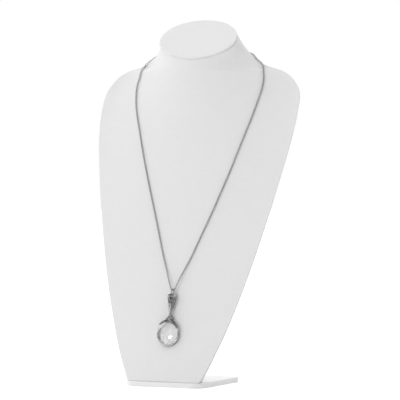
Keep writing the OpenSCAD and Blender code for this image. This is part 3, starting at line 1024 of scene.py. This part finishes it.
def make_casting():
    """The knob, shank, crown and leafy arms, fused into one."""
    shells = knob_shells() + shank_shells() + crown_shells() + bib_shells()
    shells += arm_shells(RIGHT_ARM, 1) + arm_shells(LEFT_ARM, -1)
    mesh = fused(shells, "magnifier_casting")
    store_wear_and_shade(mesh, wear_and_shade_levels(mesh))
    mesh.transform(PENDANT @ Matrix.Scale(MM, 4))
    add_piece(mesh, "pendant", "frame_metal", "magnifier_frame")


RIM_STEPS, LENS_STEPS, LENS_ROWS = 160, 128, 20
# The rim's wear and painted light: least, with its profile's wear, painted lighter up its height
# and to its left where the light falls, a side the last value turns.
RIM_LEVEL, RIM_WEAR, RIM_TOP_LIGHT, RIM_LEFT_LIGHT, LIT_SIDE_TURN = 0.24, 0.88, 0.12, 0.16, 0.5
# How far the lens's edge stands clear of the middle of the rim's wall.
LENS_CLEAR = 0.1


def round_turn(steps):
    return [2 * math.pi * j / steps for j in range(steps)]


def turned(profile, steps):
    """Points of a section, as (radius, z), turned about the rim's middle."""
    turns = round_turn(steps)
    return [(r * math.cos(t), RIM_Y + r * math.sin(t), z) for r, z in profile for t in turns]


def on_pendant(verts):
    return [PENDANT @ (Vector(v) * MM) for v in verts]


def rim_profile():
    """The rim's section from inside the front round to the back, as (radius, z, how worn)."""
    r, d = RIM_D / 2, RIM_DEPTH / 2
    clear = r - RIM_WALL
    front = [
        (clear + 1.15, 0.62, 0.1), (clear + 0.02, 0.92, 0.3), (clear, d - 0.62, 0.6),
        (clear + 0.1, d - 0.38, 0.85), (clear + 0.32, d - 0.24, 0.9), (clear + 0.55, d - 0.3, 0.7),
        (clear + 0.7, d - 0.42, 0.25), (clear + 0.82, d - 0.44, 0.1), (clear + 0.92, d - 0.3, 0.3),
        (clear + 1.08, d - 0.1, 0.7), (clear + 1.35, d, 0.9), (clear + 1.62, d - 0.05, 0.85),
        (clear + 1.88, d - 0.24, 0.7), (clear + 2.1, d - 0.56, 0.6), (clear + 2.24, d - 0.95, 0.55),
        (r, d - 1.35, 0.5),
    ]
    return front + [(radius, -z, wear_and_shade) for radius, z, wear_and_shade in reversed(front)]


def make_rim():
    profile = rim_profile()
    verts = turned([(radius, z) for radius, z, wear_and_shade in profile], RIM_STEPS)
    faces = turned_over(tube_faces(len(profile), RIM_STEPS, 0, True))
    verts = on_pendant(verts)
    rim = mesh_piece("magnifier_rim", verts, faces, "pendant", "frame_metal", "magnifier_frame")
    # Painted light: on top of its profile's wear, the rim is made lighter towards its top and its
    # left, the sides the light falls on.
    levels = [
        RIM_LEVEL + RIM_WEAR * wear_and_shade - RIM_LEFT_LIGHT * math.cos(t + LIT_SIDE_TURN) + RIM_TOP_LIGHT * math.sin(t)
        for radius, z, wear_and_shade in profile
        for t in round_turn(RIM_STEPS)
    ]
    store_wear_and_shade(rim.data, levels)


def make_lens():
    """The magnifying glass: two domed faces and a blunt edge, finely turned."""
    edge_r = (RIM_D - RIM_WALL) / 2 - LENS_CLEAR
    sag = LENS_DEPTH / 2 - HALF_EDGE
    dome_r = (edge_r**2 + sag**2) / (2 * sag)
    radii = [edge_r * i / LENS_ROWS for i in range(1, LENS_ROWS + 1)]
    profile = [(r, LENS_DEPTH / 2 - dome_r + math.sqrt(dome_r**2 - r**2)) for r in radii]
    profile += [(r, -z) for r, z in reversed(profile)]
    verts = [(0, RIM_Y, LENS_DEPTH / 2), (0, RIM_Y, -LENS_DEPTH / 2)]
    verts += turned(profile, LENS_STEPS)
    faces = turned_over(tube_faces(len(profile), LENS_STEPS, 2))
    last = 2 + (len(profile) - 1) * LENS_STEPS
    for j in range(LENS_STEPS):
        k = (j + 1) % LENS_STEPS
        faces.append((0, 2 + j, 2 + k))
        faces.append((1, last + k, last + j))
    mesh_piece("magnifying_glass", on_pendant(verts), faces, "pendant", "lens_glass", "lens")


# The clasp, seen from behind the neck, in its own millimetres: x along the chain and y up.

# How far the clasp's own y leans from level, and how far the claw is turned about its length.
CLASP_SLOPE, CLAW_TURN = 104, 58
EYE_X, EYE_R, END_RING_X, END_RING_R, CLASP_WIRE = -5.3, 1.5, 5.1, 2.3, 0.45
# The claw's limbs, as rows of (x, y, half width), and the pivot that its lever turns on.
JAW = [
    (-3.7, 0.0, 0.55), (-2.6, 0.75, 0.75), (-0.8, 1.15, 0.66), (1.2, 1.15, 0.52),
    (2.9, 0.85, 0.45), (3.7, 0.2, 0.4), (3.5, -0.5, 0.3),
]
LEVER = [
    (-3.2, -0.25, 0.5), (-2.0, -0.85, 0.6), (-0.4, -1.0, 0.48), (1.4, -0.95, 0.4), (2.8, -0.7, 0.3),
]
THUMB = [(-1.1, -1.1, 0.45), (-1.5, -1.6, 0.36), (-2.1, -1.85, 0.26)]
PIVOT, PIVOT_R, PIVOT_Z = (-2.5, 0.0), 0.45, 0.4


def limb(rows, deep):
    """A closed shell through rows of (x, y, half width)."""
    way = catmull(np.array(rows, float), 6)
    return swept(np.column_stack([way[:, :2], np.zeros(len(way))]), way[:, 2], deep)


def make_clasp():
    """A plain lobster clasp: a claw and its lever on an eye, caught in the chain's end ring."""
    low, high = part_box("clasp")
    middle = (low + high) / 2
    lean = math.radians(CLASP_SLOPE)
    up = Vector((0, math.cos(lean), math.sin(lean)))
    inward = Vector((0, -math.sin(lean), math.cos(lean)))
    axes = Matrix((ACROSS, up, inward)).transposed().to_4x4()
    claw = [limb(JAW, 0.5), limb(LEVER, 0.42), limb(THUMB, 0.38)]
    claw += [ball(PIVOT, PIVOT_R, z) for z in (-PIVOT_Z, PIVOT_Z)]
    turn = np.array(Matrix.Rotation(math.radians(CLAW_TURN), 3, "X"))
    shells = [(verts @ turn.T, faces) for verts, faces in claw]
    shells.append(ring((EYE_X, 0), EYE_R, CLASP_WIRE, 0))
    shells.append(ring((END_RING_X, 0), END_RING_R, CLASP_WIRE, 0))
    mesh = fused(shells, "lobster_clasp")
    place = Matrix.Translation(Vector((0, middle.y, middle.z))) @ axes
    mesh.transform(place @ Matrix.Scale(MM, 4))
    add_piece(mesh, "stand", "chain_metal", "clasp")


def dress(node, slot):
    """Gives a CAD node's object its finish."""
    piece = frame["nodes"][node]
    piece.data.materials.clear()
    piece.data.materials.append(FINISH[slot])


# The camera, the floor and the light.

# How much the photograph's frame takes in across at the object, and where the camera stands:
# degrees to the right of the front and up, and metres away.
FRAME_W, SENSOR_W = 464 * MM, 36
CAMERA_AIM = Vector((0.0181, -0.00266, 0.2135))
CAMERA_SIDE, CAMERA_UP, CAMERA_FAR = 26, 1.5, 3.44
FLOOR_SIZE, FLOOR_GLOW = 6.0, 0.5
# How bright the room is ahead of the object and behind it, and what its top and its sides add.
WORLD_FRONT, WORLD_BACK, WORLD_TOP, WORLD_SIDE = 0.44, 0.84, 0.7, 0.3
# Round lamps: azimuth, elevation, distance, size, power, and whether the metal mirrors them.
LAMPS = {
    "key": (-18, 8, 2.2, 0.35, 6.5, True),
    "side": (-85, 12, 2.2, 2.2, 6, False),
    "fill": (82, 18, 2.6, 1.6, 7, False),
}
LAMP_AIM = Vector((0, 0, 0.2))


def aim(thing, target, azimuth, elevation, far):
    """Stands a camera or lamp that far from its target, on that side and at that height."""
    a, e = math.radians(azimuth), math.radians(elevation)
    back = Vector((math.sin(a) * math.cos(e), -math.cos(a) * math.cos(e), math.sin(e)))
    thing.location = target + far * back
    thing.rotation_euler = (-back).to_track_quat("-Z", "Y").to_euler()


def make_camera():
    data = bpy.data.cameras.new("camera")
    data.sensor_width = SENSOR_W
    data.lens = SENSOR_W * CAMERA_FAR / FRAME_W
    camera = new_object("camera", data)
    aim(camera, CAMERA_AIM, CAMERA_SIDE, CAMERA_UP, CAMERA_FAR)
    bpy.context.scene.camera = camera


def make_floor():
    """A plain white sweep of floor, bright enough to run into the white behind it."""
    material, tree, surface = new_material("floor")
    seen = add(tree, "ShaderNodeLightPath").outputs["Is Camera Ray"]
    glow = math_node(tree, "MULTIPLY", seen, FLOOR_GLOW)
    grey, white = (0.85, 0.85, 0.85, 1), (1, 1, 1, 1)
    set_inputs(
        tree, surface, Base_Color=grey, Roughness=0.9, Emission_Color=white, Emission_Strength=glow
    )
    corners = [(x * FLOOR_SIZE, y * FLOOR_SIZE, 0) for x, y in ((-1, -1), (1, -1), (1, 1), (-1, 1))]
    mesh = bpy.data.meshes.new("floor")
    mesh.from_pydata(corners, [], [(0, 1, 2, 3)])
    mesh.materials.append(material)
    new_object("floor", mesh)


def make_lamps():
    """Soft lamps. One that the metal doesn't mirror lights the object alone."""
    for name, (azimuth, elevation, far, size, power, mirrored) in LAMPS.items():
        data = bpy.data.lights.new(name, "AREA")
        data.shape = "DISK"
        data.size = size
        data.energy = power
        lamp = new_object(name, data)
        aim(lamp, LAMP_AIM, azimuth, elevation, far)
        lamp.visible_glossy = mirrored
        lamp.visible_transmission = False


def make_room():
    """A white room behind, and a darker one in front and to the right for the metal to mirror."""
    world = bpy.data.worlds.new("studio")
    bpy.context.scene.world = world
    world.use_nodes = True
    tree = world.node_tree
    place = add(tree, "ShaderNodeTexCoord").outputs["Generated"]
    ways = add(tree, "ShaderNodeSeparateXYZ", Vector=place).outputs

    def change(axis, start, end, at_start, at_end):
        """A smooth change of brightness along an axis of the room."""
        return add(
            tree, "ShaderNodeMapRange", {"interpolation_type": "SMOOTHSTEP"}, Value=ways[axis],
            From_Min=start, From_Max=end, To_Min=at_start, To_Max=at_end,
        ).outputs["Result"]

    shade = change("Y", -0.6, 0.5, WORLD_FRONT, WORLD_BACK)
    over = change("Z", 0.3, 1.0, 0.0, WORLD_TOP)
    aside = change("X", -0.8, 0.8, WORLD_SIDE, -WORLD_SIDE)
    seen = add(tree, "ShaderNodeLightPath").outputs["Is Camera Ray"]
    room = math_node(tree, "ADD", math_node(tree, "ADD", shade, over), aside)
    strength = add(tree, "ShaderNodeMix", Factor=seen, A=room, B=1.0).outputs["Result"]
    set_inputs(tree, tree.nodes["Background"], Color=(1, 1, 1, 1), Strength=strength)


make_camera()
linen_bust = make_bust()
make_disc()
make_chain(linen_bust)
make_casting()
make_rim()
make_lens()
make_clasp()
dress("base_plate", "plate_lacquer")
dress("jump_ring", "chain_metal")
make_floor()
make_lamps()
make_room()
bpy.context.scene.view_settings.view_transform = "Standard"
